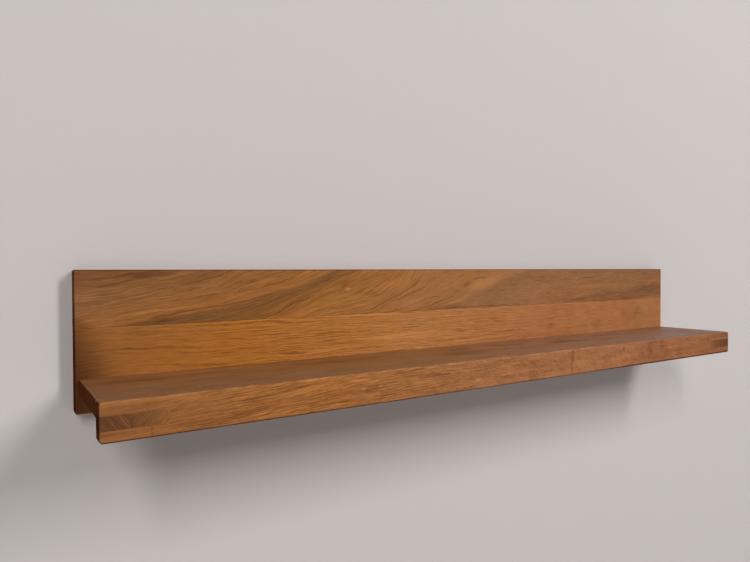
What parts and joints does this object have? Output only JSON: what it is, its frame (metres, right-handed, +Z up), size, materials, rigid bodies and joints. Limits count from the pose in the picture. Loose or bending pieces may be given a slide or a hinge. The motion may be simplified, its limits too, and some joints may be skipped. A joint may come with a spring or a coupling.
{
  "type": "floating wall shelf",
  "caption": "Long wall shelf of solid wood: a tall back board, a shelf board and a hanging front lip, hung from keyhole plates let into the back.",
  "frame": {"origin": "on the wall plane, at the middle of the shelf's length, level with the shelf's top face", "axes": "+X along the shelf, to the right of someone who faces it; +Y into the wall; +Z up"},
  "size_m": [1.2, 0.169, 0.172],
  "materials": {
    "back_upper_wood": "oiled, flat-sawn, with dark heartwood streaks",
    "back_lower_wood": "oiled, straight grain",
    "shelf_wood": "oiled, straight grain, satin from use",
    "lip_wood": "oiled, wavy grain",
    "block_end_grain": "oiled end grain",
    "dowel_wood": "raw, fluted beech",
    "hanger_steel": "zinc plated",
    "screw_steel": "yellow zinc plated"
  },
  "bodies": {
    "root": {"back_upper_stave": "back_upper_wood", "back_lower_stave": "back_lower_wood", "seam_dowels": "dowel_wood", "shelf_board": "shelf_wood", "shelf_screws": "screw_steel", "front_lip": "lip_wood", "lip_dowels": "dowel_wood", "lip_end_block_left": "block_end_grain", "lip_end_block_right": "block_end_grain", "keyhole_hanger_left": "hanger_steel", "keyhole_hanger_middle": "hanger_steel", "keyhole_hanger_right": "hanger_steel", "plate_screws": "screw_steel"}
  },
  "joints": []
}
